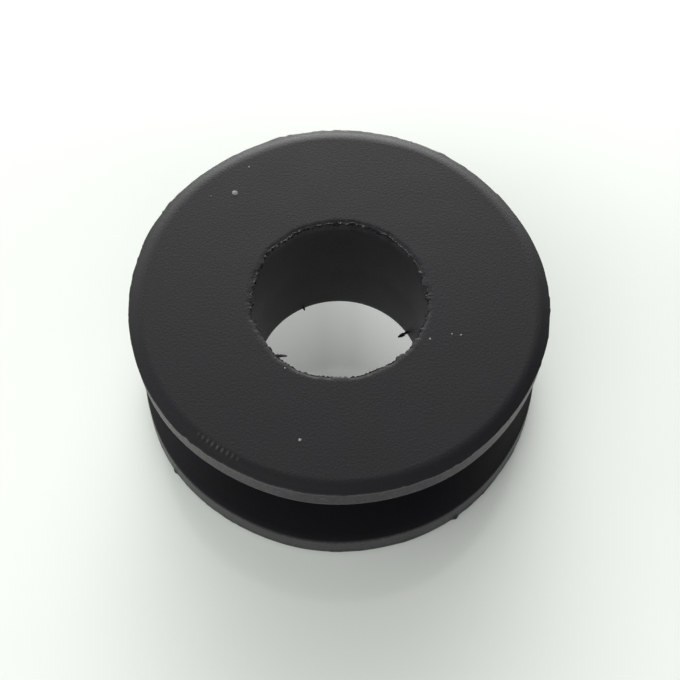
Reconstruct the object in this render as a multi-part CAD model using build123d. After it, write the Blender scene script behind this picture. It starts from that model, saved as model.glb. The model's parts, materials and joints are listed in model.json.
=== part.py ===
"""Rubber mounting bushing: one moulded spool with a straight through bore.

Two equal round flanges stand off a narrower waist, and the gap between them is
the groove that grips the edge of a panel's hole. The whole bushing is one piece
of rubber, so its half section is drawn once and turned about the bore axis.

Frame, in millimetres: the bore axis is +Z, and the origin is on that axis in
the face of the lower flange, which the bushing stands on.
"""

import os

from build123d import *

# What the bushing holds and what holds it
bore_diameter = 10.9  # takes a bolt's spacer sleeve
waist_diameter = 17.5  # fills the panel's hole
groove_width = 6.0  # takes the panel's thickness

# The two flanges, which are alike
flange_diameter = 25.0
flange_thickness = 1.8

# The shallow bevel round each flange's outer face
bevel_width = 0.60  # across the face
bevel_drop = 0.22  # down the rim

# Rounded edges
face_edge_radius = 0.20  # where a flange's face turns into its bevel
rim_edge_radius = 0.10  # where the bevel turns into the rim
lip_radius = 0.10  # where the rim turns into the groove
root_radius = 0.40  # where the groove's side turns into the waist
bore_foot_radius = 0.30  # at the bore's lower mouth; its upper mouth is sharp

# Worked out from the sizes above
bore_radius = bore_diameter / 2
waist_radius = waist_diameter / 2
flange_radius = flange_diameter / 2
groove_floor = flange_thickness
groove_ceiling = flange_thickness + groove_width
overall_height = groove_width + 2 * flange_thickness


def half_section():
    """The spool's section on the +X side, walked from the bore's foot round to its upper mouth."""
    face_end = flange_radius - bevel_width
    corners = [
        ((bore_radius, 0), bore_foot_radius),
        ((face_end, 0), face_edge_radius),
        ((flange_radius, bevel_drop), rim_edge_radius),
        ((flange_radius, groove_floor), lip_radius),
        ((waist_radius, groove_floor), root_radius),
        ((waist_radius, groove_ceiling), root_radius),
        ((flange_radius, groove_ceiling), lip_radius),
        ((flange_radius, overall_height - bevel_drop), rim_edge_radius),
        ((face_end, overall_height), face_edge_radius),
        ((bore_radius, overall_height), 0),
    ]
    points = [point for point, radius in corners]
    radii = [radius for point, radius in corners]
    outline = FilletPolyline(*points, radius=radii, close=True)
    return make_face(Plane.XZ * outline)


def rubber_bushing():
    """The half section turned a full circle about the bore axis."""
    return revolve(half_section(), axis=Axis.Z, revolution_arc=360)


def main():
    os.makedirs("parts", exist_ok=True)
    body = rubber_bushing()
    body.label = "rubber_bushing"
    export_step(body, "parts/rubber_bushing.step")
    print(f"rubber_bushing: {body.volume:.1f} mm3, {overall_height:.1f} mm high")


main()
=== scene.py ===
# %% [markdown]
# # A rubber mounting bushing
# A bushing like this is pushed into a hole in a sheet-metal panel. Its groove grips the edge of the
# hole, a bolt's sleeve goes through its bore, and the rubber keeps the shaking on one side from the
# other. It is pressed in one shot in a steel mould, so the whole object is a single skin: the bore,
# two flanges and the waist between them. The construction model already has that form, exact and
# clean. What it lacks is what the mould and the trimming leave behind: a torn lip at the bore's
# mouth, thin flash round the rims, and a dull, dusty, slightly uneven rubber.
#
# The lesson builds one closed grid of points for the skin, a few shreds of flash and specks of dust,
# a rubber finish, and then the table, the light and the camera. Everything is in metres, in the
# construction model's own frame: the bore runs along +Z and the lower face lies on z = 0.

# %% Load the fixed frame
import json
from math import cos, pi, radians, sin, tan

import bmesh
import bpy
import numpy as np
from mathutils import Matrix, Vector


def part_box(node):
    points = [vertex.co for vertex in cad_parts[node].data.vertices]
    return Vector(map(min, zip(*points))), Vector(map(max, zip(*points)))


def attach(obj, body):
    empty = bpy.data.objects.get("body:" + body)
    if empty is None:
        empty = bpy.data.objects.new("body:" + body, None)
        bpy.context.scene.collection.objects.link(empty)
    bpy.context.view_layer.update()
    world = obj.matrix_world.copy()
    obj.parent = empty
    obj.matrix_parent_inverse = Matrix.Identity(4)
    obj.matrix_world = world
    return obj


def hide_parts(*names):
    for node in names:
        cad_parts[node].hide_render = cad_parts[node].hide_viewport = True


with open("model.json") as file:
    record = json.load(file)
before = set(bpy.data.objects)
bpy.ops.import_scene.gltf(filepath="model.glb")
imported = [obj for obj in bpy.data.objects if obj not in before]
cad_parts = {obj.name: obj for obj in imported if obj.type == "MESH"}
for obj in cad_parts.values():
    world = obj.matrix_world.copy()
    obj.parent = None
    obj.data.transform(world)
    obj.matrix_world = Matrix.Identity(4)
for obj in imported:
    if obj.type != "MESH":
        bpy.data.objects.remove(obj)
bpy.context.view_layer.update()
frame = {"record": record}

MM = 0.001
NODE = "rubber_bushing"
low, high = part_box(NODE)
mounts = {mount["name"]: mount for mount in frame["record"]["mounts"]}
flange_radius = (high.x - low.x) / 2
top = high.z
bore_radius = mounts["bore"]["dims"]["r_mm"] * MM
waist_radius = mounts["panel_groove"]["dims"]["r_mm"] * MM
groove_width = mounts["panel_groove"]["dims"]["length_mm"] * MM
flange_thickness = (top - groove_width) / 2
print(f"flanges {2000 * flange_radius:.2f} mm across, {1000 * flange_thickness:.2f} mm thick")
print(f"bore {2000 * bore_radius:.2f} mm, waist {2000 * waist_radius:.2f} mm, height {1000 * top:.2f} mm")

# %% [markdown]
# ## The section
# Cut the bushing along its axis and one half of the cut is a flat outline: up the bore, out over the
# upper face, down a shallow bevel and the rim, in along the groove to the waist, and the same again
# below. A lathe modifier could spin a drawn curve, but then nothing on the surface could vary round
# the circle. Here the outline is a list of corners, each with its rounding and with the number of
# points on the straight run that leaves it. Runs that will carry torn or worn edges get more points.

# %% Sizes of the edges
bevel_width = 0.60 * MM
bevel_drop = 0.22 * MM
face_edge_radius = 1.60 * MM
rim_edge_radius = 0.10 * MM
lip_radius = 0.10 * MM
root_radius = 0.40 * MM
bore_foot_radius = 0.10 * MM
narrows_at = top - 5.8 * MM  # below this height the bore narrows a little
bore_foot = bore_radius - 0.13 * MM  # the bore's radius at its lower mouth
torn_depth = 1.0 * MM  # how far down the bore the tearing reaches
face_end = flange_radius - bevel_width
groove_floor = flange_thickness
groove_ceiling = top - flange_thickness


# %% Turn corners into an outline
def corner_points(before, corner, after, radius, steps):
    """A corner rounded by an arc that touches both runs.

    The arc starts a tangent length back along the run that arrives, radius times the tangent of
    half the turn, and its points are the start turned about the arc's centre in equal steps.
    """
    if radius == 0:
        return corner[None]
    arrive = (corner - before) / np.linalg.norm(corner - before)
    leave = (after - corner) / np.linalg.norm(after - corner)
    turn = np.arctan2(arrive[0] * leave[1] - arrive[1] * leave[0], arrive @ leave)
    start = corner - arrive * radius * tan(abs(turn) / 2)
    side = np.array([-arrive[1], arrive[0]]) * np.sign(turn)
    centre = start + side * radius
    angles = np.linspace(0, turn, steps)[:, None]
    spoke = start - centre
    swung = np.array([-spoke[1], spoke[0]])
    return centre + spoke * np.cos(angles) + swung * np.sin(angles)


def outline(corners):
    """All the points of a closed outline. Between two rounded corners, each run is split evenly."""
    places = np.array([corner[:2] for corner in corners])
    arcs = []
    for i, (_, _, radius, arc_steps, _) in enumerate(corners):
        after = places[(i + 1) % len(places)]
        arcs.append(corner_points(places[i - 1], places[i], after, radius, arc_steps))
    pieces = []
    for i, arc in enumerate(arcs):
        steps = corners[i][4]
        share = (np.arange(1, steps) / steps)[:, None]
        pieces += [arc, arc[-1] + share * (arcs[(i + 1) % len(arcs)][0] - arc[-1])]
    return np.concatenate(pieces)


# Each corner: radius from the axis, height, rounding, points on the rounding, steps to the next one
corners = [
    (bore_foot, 0, bore_foot_radius, 4, 12),
    (bore_radius, narrows_at, 0, 1, 8),
    (bore_radius, top - torn_depth, 0, 1, 20),
    (bore_radius, top, 0, 1, 9),
    (bore_radius + 0.6 * MM, top, 0, 1, 12),
    (face_end - 0.4 * MM, top, 0, 1, 7),
    (face_end, top, face_edge_radius, 7, 3),
    (flange_radius, top - bevel_drop, rim_edge_radius, 5, 8),
    (flange_radius, groove_ceiling, lip_radius, 4, 6),
    (waist_radius, groove_ceiling, root_radius, 4, 6),
    (waist_radius, groove_floor, root_radius, 4, 8),
    (flange_radius, groove_floor, lip_radius, 4, 8),
    (flange_radius, bevel_drop, rim_edge_radius, 4, 3),
    (face_end, 0, face_edge_radius, 4, 5),
]
section = outline(corners)
print(f"the section has {len(section)} points")

# %% [markdown]
# ## Unevenness that closes on itself
# Torn rubber is irregular at several sizes at once, and whatever varies round the bushing has to meet
# itself after a full turn. Three kinds of formula cover it. One adds cosines with whole numbers of
# waves per turn, so it closes by itself. One joins random heights at random angles with straight
# lines, as along a thin tear. The last holds such heights level between short steep steps, as where
# chips came away. All work on whole arrays, and a fixed seed makes them come out the same each run.

# %% Seeded ripple, mottle, tear and chips
seed = np.random.default_rng(7)


def ripple(theta, least, most, count):
    """A sum of cosines round the circle, each with a whole number of waves from least to most."""
    waves = seed.integers(least, most + 1, count)
    phases = seed.uniform(0, 2 * pi, count)
    return np.cos(theta[..., None] * waves + phases).sum(-1) / np.sqrt(count / 2)


def mottle(theta, along, least, most, pitch, count):
    """As ripple, but each cosine also runs along the section, with a wavelength of pitch or more."""
    total = np.zeros(np.broadcast_shapes(theta.shape, along.shape))
    for _ in range(count):
        waves = seed.integers(least, most + 1)
        run = seed.uniform(-1, 1) * 2 * pi / pitch
        total += np.cos(theta * waves + along * run + seed.uniform(0, 2 * pi))
    return total / np.sqrt(count / 2)


def tear(theta, knots):
    """Random heights from 0 to 1 at random angles, joined by straight lines and closed on itself."""
    angles = np.sort(seed.uniform(0, 2 * pi, knots))
    return np.interp(theta, angles, seed.uniform(0, 1, knots), period=2 * pi)


def chips(theta, knots):
    """Random heights as in tear, but held level and joined by short steep steps."""
    angles = np.sort(seed.uniform(0, 2 * pi, knots))
    heights = seed.uniform(0, 1, knots)
    gap = np.interp(theta, angles, np.arange(knots), period=2 * pi)
    along = ((gap % 1 - 0.5) * 4 + 0.5).clip(0, 1)
    first = np.floor(gap).astype(int) % knots
    return heights[first] + (heights[(first + 1) % knots] - heights[first]) * along


def bump(x, centre, width):
    """A smooth hill, 1 at its centre: e to the minus square of the distance over the width."""
    return np.exp(-(((x - centre) / width) ** 2))


def turn_apart(theta, angle):
    """How far two angles are apart, the short way round."""
    return np.abs((theta - angle + pi) % (2 * pi) - pi)


# %% [markdown]
# ## The angles of the grid
# The grid has a fixed number of columns round the circle. On one stretch of the upper face's edge a
# row of tiny beads is left by the mould, about a third of a millimetre apart, and they need closer
# columns than the plain rim does. So the columns are spread by a density: the running total of the
# density is turned round, and equal shares of it give the angles.

# %% Spread the columns
COLUMNS = 640
bead_middle, bead_half_span, bead_pitch = radians(235), radians(7.5), radians(1.65)
even = np.linspace(0, 2 * pi, 20 * COLUMNS + 1)
density = 1 + 2.5 * bump(turn_apart(even, bead_middle), 0, 1.15 * bead_half_span)
running = np.concatenate([[0], np.cumsum((density[1:] + density[:-1]) / 2)])
theta = np.interp(np.arange(COLUMNS) / COLUMNS, running / running[-1], even)[:, None]
between = np.degrees(np.diff(theta[:, 0]))
print(f"columns are {between.min():.2f} to {between.max():.2f} degrees apart")

# %% [markdown]
# ## The skin
# The clean section goes round the axis, and then edges are worked on it: the distance of a point
# from an edge fades each effect out. Nearly all of the offsets are a few hundredths of a millimetre.
# The largest is the lip at the bore's upper mouth, where a thin web of rubber was torn out: it leans
# inwards by up to half a millimetre, ragged along its edge, and the bore's clean wall starts below.

# %% Work the edges
radius0, height0 = section[:, 0][None], section[:, 1][None]
radius = np.repeat(radius0, COLUMNS, 0)
height = np.repeat(height0, COLUMNS, 0)

# The torn lip, on the wall: depth is how far a point lies below the upper face
on_wall = (np.abs(radius0 - bore_radius) < 1e-6) & (height0 > top - torn_depth - 1e-6)
depth = np.where(on_wall, top - height0, 0)
lip_depth = (0.16 + 0.06 * ripple(theta, 3, 40, 8).clip(-1.2, 1.5)) * MM
lip_reach = 0.02 + 0.24 * chips(theta, 44) + 0.09 * chips(theta, 110) + 0.06 * tear(theta, 210)
lip_reach = lip_reach * (0.55 + 0.55 * np.abs(np.cos(theta))) * MM
mouth_in = lip_reach - 0.04 * MM * tear(theta, 190)
above = (depth / lip_depth).clip(0, 1)
below = ((depth - lip_depth) / (torn_depth - lip_depth)).clip(0, 1)
lean = mouth_in + (lip_reach - mouth_in) * above
crumbs = mottle(theta, depth, 40, 160, 0.35 * MM, 24) * 0.022 * MM
lean = lean * (1 - below) ** 1.4 + crumbs * bump(depth, lip_depth, 0.45 * MM)
radius = radius - np.where(on_wall, lean, 0)

# The upper face by the mouth follows the mouth's edge
on_face = (np.abs(height0 - top) < 1e-6) & ~on_wall
from_mouth = np.where(on_face, radius0 - bore_radius, 1)
follow = (1 - (from_mouth / (0.6 * MM)).clip(0, 1)) ** 2
radius = radius - np.where(on_face, mouth_in * follow, 0)
sag = (0.03 + 0.05 * tear(theta, 120)) * MM
sagging = on_face | (on_wall & (depth < 1e-6))
height = height - np.where(sagging, sag * bump(from_mouth * on_face, 0, 0.10 * MM), 0)

# Flash on each rim's outer corner, standing proud in uneven lengths
upper_flash = (0.035 + 0.110 * tear(theta, 46) * tear(theta, 210)) * MM
lower_flash = (0.020 + 0.060 * tear(theta, 60) * tear(theta, 240)) * MM
outside = radius0 > flange_radius - 0.35 * MM
from_upper = np.hypot(radius0 - flange_radius, height0 - (top - bevel_drop))
from_lower = np.hypot(radius0 - flange_radius, height0 - bevel_drop)
radius = radius + np.where(outside, upper_flash * bump(from_upper, 0, 0.13 * MM), 0)
radius = radius + np.where(outside, lower_flash * bump(from_lower, 0, 0.13 * MM), 0)

# Two burrs on the lower rim
burrs = 0.10 * MM * bump(turn_apart(theta, radians(215)), 0, radians(0.9))
burrs = burrs + 0.15 * MM * bump(turn_apart(theta, radians(305)), 0, radians(0.8))
radius = radius + np.where(outside, burrs * bump(from_lower, 0, 0.16 * MM), 0)

# Beads along the edge of the upper face
bead_wave = np.cos((theta - bead_middle) * 2 * pi / bead_pitch).clip(0, 1)
bead_fade = (1 - turn_apart(theta, bead_middle) / bead_half_span).clip(0, 1) ** 0.5
from_bead = np.hypot(radius0 - (face_end + 0.05 * MM), height0 - top)
height = height + 0.035 * MM * bead_wave * bead_fade * bump(from_bead, 0, 0.10 * MM)

# The upper face is moulded, not ground, so it rolls by a few thousandths of a millimetre, and the
# flanges are not quite round
roll = mottle(theta, radius0, 2, 12, 3.0 * MM, 30) * 0.002 * MM
height = height + np.where(on_face, roll * (1 - follow), 0)
wobble = ripple(theta, 2, 9, 6) * 0.025 * MM
radius = radius + wobble * ((radius0 - waist_radius) / (flange_radius - waist_radius)).clip(0, 1)


# %% Put the grid into a mesh
def closed_grid(name, points):
    """A mesh from a grid of points, rows by columns by three, that closes on itself both ways.

    The face at row i and column j joins (i, j), (i, j+1), (i+1, j+1) and (i+1, j), counted round.
    """
    rows, columns = points.shape[:2]
    i, j = np.meshgrid(np.arange(rows), np.arange(columns), indexing="ij")
    i2, j2 = (i + 1) % rows, (j + 1) % columns
    quads = np.stack([i * columns + j, i * columns + j2, i2 * columns + j2, i2 * columns + j], -1)
    mesh = bpy.data.meshes.new(name)
    mesh.vertices.add(rows * columns)
    mesh.vertices.foreach_set("co", points.reshape(-1).astype(np.float32))
    mesh.loops.add(quads.size)
    mesh.loops.foreach_set("vertex_index", quads.reshape(-1))
    mesh.polygons.add(rows * columns)
    mesh.polygons.foreach_set("loop_start", np.arange(0, quads.size, 4))
    mesh.update(calc_edges=True)
    mesh.validate()
    mesh.shade_smooth()
    piece = bpy.data.objects.new(name, mesh)
    bpy.context.scene.collection.objects.link(piece)
    return piece


def enclosed_volume(piece):
    """The volume inside a closed mesh, from its triangles; it is negative if they face inwards."""
    shape = bmesh.new()
    shape.from_mesh(piece.data)
    volume = shape.calc_volume(signed=True)
    shape.free()
    return volume


points = np.stack([radius * np.cos(theta), radius * np.sin(theta), height], -1)
skin = closed_grid("moulded_bushing", points)
if enclosed_volume(skin) < 0:
    skin.data.flip_normals()
print(f"{skin.name}: {len(skin.data.polygons)} quads, {1e9 * enclosed_volume(skin):.0f} mm3")

# %% [markdown]
# ## Where the surface differs
# The finish is not the same all over. The straight land of each rim was trimmed, so it is speckled
# and rough. The torn lip is rough too. The beads get a painted highlight: their colour is painted
# pale for the light their tops catch. The lowest part of the bore gets painted light: its colour is
# painted paler and bluer for the light the table throws up into it. The rest keeps the smooth skin
# that the mould gave it. The material could find those places from coordinates, but the grid
# already knows which points are which, so four numbers are stored with each point for the material
# to read.

# %% Mark the trimmed and torn points, the painted bead highlight and the painted bore light
def store(piece, name, values):
    """Keeps one number for each point of a mesh under a name that a material can read."""
    attribute = piece.data.attributes.new(name, "FLOAT", "POINT")
    attribute.data.foreach_set("value", np.ascontiguousarray(values, np.float32).reshape(-1))


on_land = np.abs(radius0 - flange_radius) < 0.02 * MM
# Painted highlight: the beads' colour is painted pale for the light their tops catch
painted_bead_highlight = bead_wave * bead_fade * bump(from_bead, 0, 0.10 * MM)
store(skin, "trimmed", np.repeat(on_land, COLUMNS, 0) * 1.0)
store(skin, "painted_bead_highlight", painted_bead_highlight)
torn_wall = bump(depth, lip_depth / 2, 0.45 * MM)
store(skin, "torn", np.where(on_wall, torn_wall, bump(from_mouth, 0, 0.06 * MM)))
bore_light_fade = 2.1 * MM  # the painted light comes in over this height
in_bore = (radius0 < bore_radius + 1e-6) & (height0 < narrows_at)
# Painted light: the lowest part of the bore is painted paler for the light the table throws up into it
bore_light_share = np.where(in_bore, ((narrows_at - height0) / bore_light_fade).clip(0, 1), 0)
store(skin, "painted_bore_light", np.repeat(bore_light_share, COLUMNS, 0))
print(f"{int(on_land.sum())} rows of the section lie on the trimmed lands")

# %% [markdown]
# ## Shreds of flash
# Three shreds still hang from the bore's edges: a curl on the near left of the upper mouth, and two at
# the lower mouth. Each is a flattened tube along a short curved path, thin at both ends. The path is
# a quadratic through three points, so a bend takes one formula: the weights of the points at a share
# t of the way are (1-t) squared, 2t(1-t) and t squared.


# %% Make the shreds
def shred(path, thick, wide, rings=14, sides=10, uneven=0.15):
    """Points of a tapered, flattened tube: rings of an ellipse carried along a bent path.

    The ellipse shrinks at both ends by the square root of sine, and it is wide across the path and
    thick in the vertical.
    """
    t = np.linspace(0, 1, rings)[:, None]
    start, middle, end = (np.array(point) for point in path)
    line = (1 - t) ** 2 * start + 2 * t * (1 - t) * middle + t**2 * end
    along = 2 * (1 - t) * (middle - start) + 2 * t * (end - middle)
    along /= np.linalg.norm(along, axis=1)[:, None]
    across = np.cross(along, [0, 0, 1])
    across /= np.linalg.norm(across, axis=1)[:, None]
    up = np.cross(across, along)
    size = np.sqrt(np.sin(pi * t.clip(0.004, 0.996)))[:, :, None]
    size = size * (1 + uneven * seed.standard_normal((rings, 1, 1)))
    angle = np.linspace(0, 2 * pi, sides, endpoint=False)[None, :, None]
    ring = across[:, None] * np.cos(angle) * wide / 2 + up[:, None] * np.sin(angle) * thick / 2
    return line[:, None] + size * ring


def tube_faces(rings, sides, first):
    """Quads between neighbouring rings, and one face over each end."""
    i, j = np.meshgrid(np.arange(rings - 1), np.arange(sides), indexing="ij")
    j2 = (j + 1) % sides
    quads = np.stack([i * sides + j, i * sides + j2, (i + 1) * sides + j2, (i + 1) * sides + j], -1)
    ends = [list(range(sides))[::-1], list(range((rings - 1) * sides, rings * sides))]
    faces = quads.reshape(-1, 4).tolist() + ends
    return [[first + corner for corner in face] for face in faces]


def joined_tubes(name, tubes):
    """One mesh from several tubes, with its faces pointing outwards."""
    points, faces = [], []
    for tube in tubes:
        faces += tube_faces(tube.shape[0], tube.shape[1], sum(len(p) for p in points))
        points.append(tube.reshape(-1, 3))
    mesh = bpy.data.meshes.new(name)
    mesh.from_pydata(np.concatenate(points).tolist(), [], faces)
    shape = bmesh.new()
    shape.from_mesh(mesh)
    bmesh.ops.recalc_face_normals(shape, faces=shape.faces)
    shape.to_mesh(mesh)
    shape.free()
    mesh.shade_smooth()
    piece = bpy.data.objects.new(name, mesh)
    bpy.context.scene.collection.objects.link(piece)
    return piece


def round_axis(distance, degrees, height):
    """A point by its distance from the bore's axis, its angle round it and its height."""
    return np.array([distance * cos(radians(degrees)), distance * sin(radians(degrees)), height])


upper_curl = [
    round_axis(bore_radius + 0.15 * MM, 224, top - 0.12 * MM),
    round_axis(bore_radius - 0.25 * MM, 228, top - 0.06 * MM),
    round_axis(bore_radius - 0.55 * MM, 232.5, top - 0.12 * MM),
]
lower_right = [
    round_axis(bore_foot + 0.05 * MM, 32, 0.30 * MM),
    round_axis(bore_foot - 0.20 * MM, 32.2, 0.12 * MM),
    round_axis(bore_foot - 0.66 * MM, 33, 0.09 * MM),
]
lower_left = [
    round_axis(bore_foot + 0.05 * MM, 116.6, 0.30 * MM),
    round_axis(bore_foot - 0.05 * MM, 116.6, 0.14 * MM),
    round_axis(bore_foot - 0.20 * MM, 116.6, 0.09 * MM),
]
shreds = joined_tubes(
    "flash_shreds",
    [
        shred(upper_curl, 0.14 * MM, 0.19 * MM),
        shred(lower_right, 0.15 * MM, 0.25 * MM),
        shred(lower_left, 0.11 * MM, 0.16 * MM),
    ],
)
print(f"{shreds.name}: {len(shreds.data.polygons)} faces")

# %% [markdown]
# ## Dust
# A few pale specks lie on the upper face, the widest about 0.4 mm across, and a short hair stands at
# the far edge of the bore. They could be
# dots in the material, but lint stands proud and throws a tiny shadow, so each speck is a short, fat,
# uneven tube like the shreds, half sunk in the rubber. Each has its distance from the axis, its angle
# and its width.

# %% Lay the dust
specks = [
    (9.92, 130.6, 0.36),
    (11.07, 120.7, 0.11),
    (10.79, 137.4, 0.07),
    (9.56, 256.8, 0.18),
    (6.04, 332.2, 0.12),
    (7.61, 340.4, 0.11),
    (7.09, 339.5, 0.09),
    (5.67, 236.7, 0.10),
]
lumps = []
for distance, degrees, width in specks:
    middle = round_axis(distance * MM, degrees, top + 0.01 * MM)
    reach = round_axis(0.55 * width * MM, seed.uniform(0, 360), 0)
    lumps.append(shred([middle - reach, middle, middle + reach], 0.35 * width * MM, width * MM, 8, 8, 0.08))
hair = round_axis(bore_radius - 0.12 * MM, 89, top - 0.06 * MM)
hair_half = np.array([0, 0.05 * MM, 0.10 * MM])
lumps.append(shred([hair - hair_half, hair, hair + hair_half], 0.05 * MM, 0.06 * MM, 8, 8))
dust = joined_tubes("dust_specks", lumps)
print(f"{dust.name}: {len(lumps)} specks, {len(dust.data.polygons)} faces")

# %% [markdown]
# ## Black rubber
# Filled rubber is nearly black, but never one black. It has slow clouds where the compound bloomed, a
# fine grain from the mould's surface, and a weak, wide shine that grows at a grazing angle. An image
# could carry that, but noise works at any size and needs no unwrapping. The shader is one Principled
# node: a dark, slightly blue colour that drifts with the clouds and the grain, a roughness that drifts
# with the clouds, and one bump from the grain. The stored marks add what differs: pale speckle and a
# lower roughness on the lands, deeper bumps on the lands and the torn lip, a painted highlight that
# makes the beads pale, and painted light that makes the lowest part of the bore paler and bluer.


# %% A small helper for materials
def material(name):
    """A new material: its node tree, and the Principled shader that comes with it."""
    finish = bpy.data.materials.new(name)
    finish.use_nodes = True
    return finish, finish.node_tree, finish.node_tree.nodes["Principled BSDF"]


def add(tree, kind, **values):
    """Adds a node. A value goes to the input of that name, an output to link, or a setting."""
    node = tree.nodes.new("ShaderNode" + kind)
    for key, value in values.items():
        title = key.replace("_", " ")
        if hasattr(node, key) and not isinstance(value, bpy.types.NodeSocket):
            setattr(node, key, value)
        elif isinstance(value, bpy.types.NodeSocket):
            tree.links.new(value, node.inputs[title])
        else:
            node.inputs[title].default_value = value
    return node


def noise(tree, place, size, detail, rough=0.5):
    """Noise from 0 to 1 whose features are about that size, in metres."""
    node = add(tree, "TexNoise", Vector=place, Scale=1 / size, Detail=detail, Roughness=rough)
    return node.outputs["Fac"]


def spread(tree, value, low_in, high_in, low_out, high_out):
    """Moves a value from one range to another and holds it there."""
    source = {"From_Min": low_in, "From_Max": high_in}
    target = {"To_Min": low_out, "To_Max": high_out}
    return add(tree, "MapRange", Value=value, **source, **target).outputs["Result"]


def combine(tree, operation, first, second):
    """One step of arithmetic on two values, each a number or a link."""
    node = add(tree, "Math", operation=operation)
    for socket, value in zip(node.inputs, (first, second)):
        if isinstance(value, bpy.types.NodeSocket):
            tree.links.new(value, socket)
        else:
            socket.default_value = value
    return node.outputs[0]


def blend_colors(tree, share, first, second):
    """A mix of two colours, each a colour or a link."""
    node = tree.nodes.new("ShaderNodeMix")
    node.data_type = "RGBA"
    for socket, value in ((node.inputs[0], share), (node.inputs[6], first), (node.inputs[7], second)):
        if isinstance(value, bpy.types.NodeSocket):
            tree.links.new(value, socket)
        else:
            socket.default_value = value
    return node.outputs[2]


# %% Mix the rubber
def black_rubber():
    """Matte black rubber, which differs where its points are marked."""
    finish, tree, shader = material("black_rubber")
    place = add(tree, "TexCoord").outputs["Object"]
    trimmed = add(tree, "Attribute", attribute_name="trimmed").outputs["Fac"]
    torn = add(tree, "Attribute", attribute_name="torn").outputs["Fac"]
    painted_bead_highlight = add(tree, "Attribute", attribute_name="painted_bead_highlight").outputs["Fac"]
    broken_skin = combine(tree, "MAXIMUM", trimmed, torn)
    clouds = spread(tree, noise(tree, place, 3.0 * MM, 4, 0.6), 0.3, 0.7, 0, 1)
    grain = noise(tree, place, 0.15 * MM, 2, 0.6)
    crumbs = noise(tree, place, 0.11 * MM, 2, 0.7)
    color = blend_colors(tree, clouds, (0.0042, 0.0043, 0.0062, 1), (0.0054, 0.0054, 0.0066, 1))
    color = blend_colors(tree, spread(tree, grain, 0.35, 0.75, 0, 0.35), color, (0.0090, 0.0090, 0.0095, 1))
    painted_bore_light = add(tree, "Attribute", attribute_name="painted_bore_light").outputs["Fac"]
    # Painted light: paler, bluer colour low in the bore for the light the table throws up into it
    color = blend_colors(tree, painted_bore_light, color, (0.0085, 0.0088, 0.0115, 1))
    speckle = noise(tree, place, 0.17 * MM, 2, 0.7)
    scuffs = combine(tree, "MULTIPLY", spread(tree, speckle, 0.50, 0.66, 0, 1), trimmed)
    color = blend_colors(tree, scuffs, color, (0.030, 0.030, 0.031, 1))
    # Painted highlight: pale colour on the beads for the light their tops catch
    color = blend_colors(tree, painted_bead_highlight, color, (0.060, 0.060, 0.058, 1))
    tree.links.new(color, shader.inputs["Base Color"])
    dullness = spread(tree, clouds, 0, 1, 0.52, 0.48)
    dullness = combine(tree, "SUBTRACT", dullness, combine(tree, "MULTIPLY", trimmed, 0.10))
    tree.links.new(dullness, shader.inputs["Roughness"])
    shader.inputs["Specular IOR Level"].default_value = 0.23
    height = combine(tree, "ADD", grain, combine(tree, "MULTIPLY", crumbs, broken_skin))
    relief = add(tree, "Bump", Strength=0.4, Distance=0.03 * MM, Height=height)
    tree.links.new(relief.outputs["Normal"], shader.inputs["Normal"])
    return finish


def grey_lint():
    """Pale fibre dust, brighter where it bunches."""
    finish, tree, shader = material("grey_lint")
    place = add(tree, "TexCoord").outputs["Object"]
    bunch = noise(tree, place, 0.05 * MM, 2)
    color = blend_colors(tree, bunch, (0.07, 0.07, 0.07, 1), (0.30, 0.30, 0.29, 1))
    tree.links.new(color, shader.inputs["Base Color"])
    shader.inputs["Roughness"].default_value = 0.9
    return finish


rubber = black_rubber()
lint = grey_lint()
for piece, finish in ((skin, rubber), (shreds, rubber), (dust, lint)):
    piece.data.materials.append(finish)
print(f"{rubber.name}: {len(rubber.node_tree.nodes)} nodes; {lint.name}: {len(lint.node_tree.nodes)} nodes")

# %% [markdown]
# ## Tie the pieces to the frame
# The bushing has no joints, so everything rides on the one body. The skin stands for the plain node,
# and the shreds are the same rubber, so they have the same finish.

# %% Ride and replace
for piece in (skin, shreds, dust):
    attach(piece, "root")
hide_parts(NODE)

# %% [markdown]
# ## The table
# The bushing stands on a white laminate table top with a clear gloss. A large square is enough: it
# carries the soft shadow, the mirror image of the bushing, and the light that the table throws back up
# at the rims. A glossy white is two things at once, so the shader mixes a matte white with a mirror.
# Light also creeps through the laminate from the bright table all round, and it shows as a glow
# inside the bore, strongest at the far wall and at the sides. It is only to be seen, so it is an
# emission for the rays that look at the table, and the matte light from the table leaves it out.


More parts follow.
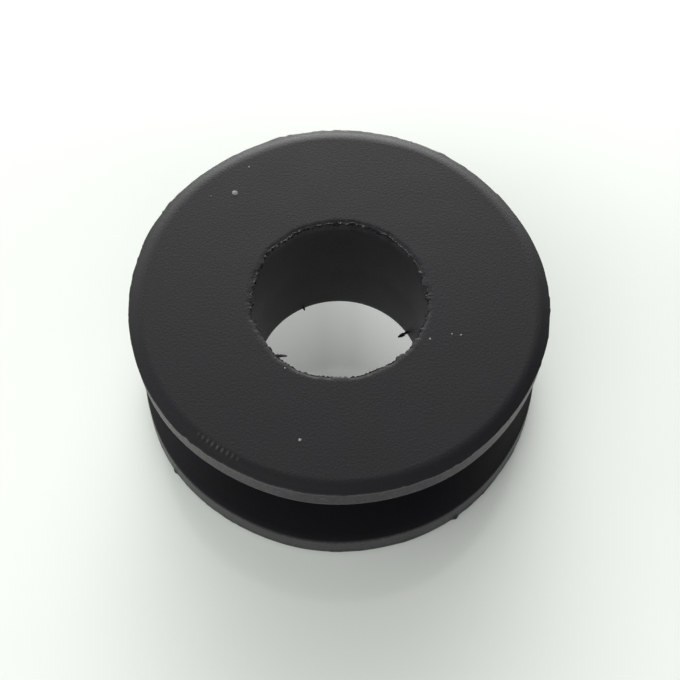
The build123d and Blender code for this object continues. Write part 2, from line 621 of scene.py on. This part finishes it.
# %% Lay the table
def table_top():
    """Matte white mixed with a clear mirror, and a glow under the bore.

    The glow fades with distance from a place near the far wall, and a second part of it grows from
    the middle towards both sides and ends before the bushing's rim.
    """
    finish = bpy.data.materials.new("table_top")
    finish.use_nodes = True
    tree = finish.node_tree
    tree.nodes.remove(tree.nodes["Principled BSDF"])
    place = add(tree, "TexCoord").outputs["Object"]
    haze = noise(tree, place, 12 * MM, 2)
    color = blend_colors(tree, haze, (0.80, 0.845, 0.80, 1), (0.84, 0.875, 0.835, 1))
    matte = add(tree, "BsdfDiffuse", Color=color).outputs[0]
    mirror = add(tree, "BsdfAnisotropic", Roughness=0.10).outputs[0]
    glossy = add(tree, "MixShader", Fac=0.14)
    tree.links.new(matte, glossy.inputs[1])
    tree.links.new(mirror, glossy.inputs[2])
    from_glow = add(tree, "VectorMath", operation="DISTANCE")
    tree.links.new(place, from_glow.inputs[0])
    from_glow.inputs[1].default_value = (1.0 * MM, 7.0 * MM, 0)
    glow = spread(tree, from_glow.outputs["Value"], 0, 11 * MM, 0.38, 0)
    parts = add(tree, "SeparateXYZ", Vector=place).outputs
    sides = spread(tree, combine(tree, "ABSOLUTE", parts["X"], 0), 1 * MM, 4.5 * MM, 0.05, 0.22)
    from_axis = add(tree, "VectorMath", operation="LENGTH")
    tree.links.new(place, from_axis.inputs[0])
    under = spread(tree, from_axis.outputs["Value"], 7 * MM, 8 * MM, 1, 0)
    glow = combine(tree, "ADD", glow, combine(tree, "MULTIPLY", sides, under))
    rays = add(tree, "LightPath").outputs
    seen = combine(tree, "MAXIMUM", rays["Is Camera Ray"], rays["Is Glossy Ray"])
    seen = combine(tree, "MAXIMUM", seen, rays["Is Transmission Ray"])
    strength = combine(tree, "MULTIPLY", glow, seen)
    light = add(tree, "Emission", Color=(0.97, 1.0, 0.97, 1), Strength=strength).outputs[0]
    whole = tree.nodes.new("ShaderNodeAddShader")
    tree.links.new(glossy.outputs[0], whole.inputs[0])
    tree.links.new(light, whole.inputs[1])
    tree.links.new(whole.outputs[0], tree.nodes["Material Output"].inputs["Surface"])
    return finish


table_half = 0.6
table_mesh = bpy.data.meshes.new("table")
table_corners = [(x * table_half, y * table_half, 0) for x, y in ((-1, -1), (1, -1), (1, 1), (-1, 1))]
table_mesh.from_pydata(table_corners, [], [(0, 1, 2, 3)])
table = bpy.data.objects.new("table", table_mesh)
bpy.context.scene.collection.objects.link(table)
table.data.materials.append(table_top())
print(f"{table.name}: {2 * table_half:.1f} m square")

# %% [markdown]
# ## Light
# There are no lamps. The light is soft and comes from a bright, wide window low at the back, with dim
# glows from the walls round the rest of the room, so the camera's side is darker. A world can hold all
# of that: each glow is a soft lobe, a power of the cosine from its middle, and the lobes add up. The
# directions are a plain grid. The strengths were found together by a least-squares program and then
# rounded, because the table, the face and the bore each see a different share of every lobe.


# %% Set the sky
def sky(lobes, power, color):
    """A world of soft lobes: each adds its strength times a power of the cosine from its middle.

    A lobe is given as its azimuth, in degrees round from the back towards the right, its elevation
    in degrees, and its strength.
    """
    world = bpy.data.worlds.new("sky")
    world.use_nodes = True
    tree = world.node_tree
    direction = add(tree, "TexCoord").outputs["Generated"]
    total = 0.0
    for azimuth, elevation, strength in lobes:
        across, up = cos(radians(elevation)), sin(radians(elevation))
        middle = (across * sin(radians(azimuth)), across * cos(radians(azimuth)), up)
        toward = add(tree, "VectorMath", operation="DOT_PRODUCT")
        tree.links.new(direction, toward.inputs[0])
        toward.inputs[1].default_value = middle
        lobe = combine(tree, "POWER", combine(tree, "MAXIMUM", toward.outputs["Value"], 0), power)
        total = combine(tree, "ADD", total, combine(tree, "MULTIPLY", lobe, strength))
    background = tree.nodes["Background"]
    background.inputs["Color"].default_value = color
    tree.links.new(total, background.inputs["Strength"])
    bpy.context.scene.world = world


window = (0, 12, 13.9)
low_walls = [(-45, 12, 2.0), (-90, 12, 2.5), (-135, 12, 1.4), (135, 12, 2.4)]
overhead = [(0, 64, 0.36), (-90, 64, 0.25), (180, 64, 0.29)]
front_walls = [(180, 38, 1.0), (-135, 38, 1.4)]
lobes = [window] + low_walls + overhead + front_walls
sky(lobes, power=10, color=(1.0, 1.0, 0.99, 1))
print(f"a sky of {len(lobes)} lobes")

# %% [markdown]
# ## The camera
# The camera stands about three and a third times the bushing's width away and looks down at 61
# degrees, so the near rim is clearly larger than the far one. Its place is given in rim radii from
# the centre of the upper face, so it follows the bushing if that ever changes.

# %% Place the camera
look_down = radians(61.28)
aside, back_off, up = 0.0056, 3.3266, 5.6498
lens_mm, sensor_mm = 72.84, 36.0
camera_data = bpy.data.cameras.new("camera")
camera_data.lens = lens_mm
camera_data.sensor_width = sensor_mm
camera_data.clip_start = 5 * MM
camera = bpy.data.objects.new("camera", camera_data)
camera.location = (aside * flange_radius, -back_off * flange_radius, top + up * flange_radius)
camera.rotation_euler = (pi / 2 - look_down, 0, 0)
bpy.context.scene.collection.objects.link(camera)
bpy.context.scene.camera = camera
bpy.context.scene.view_settings.view_transform = "Standard"
print(f"camera {1000 * camera.location.length:.0f} mm from the origin")
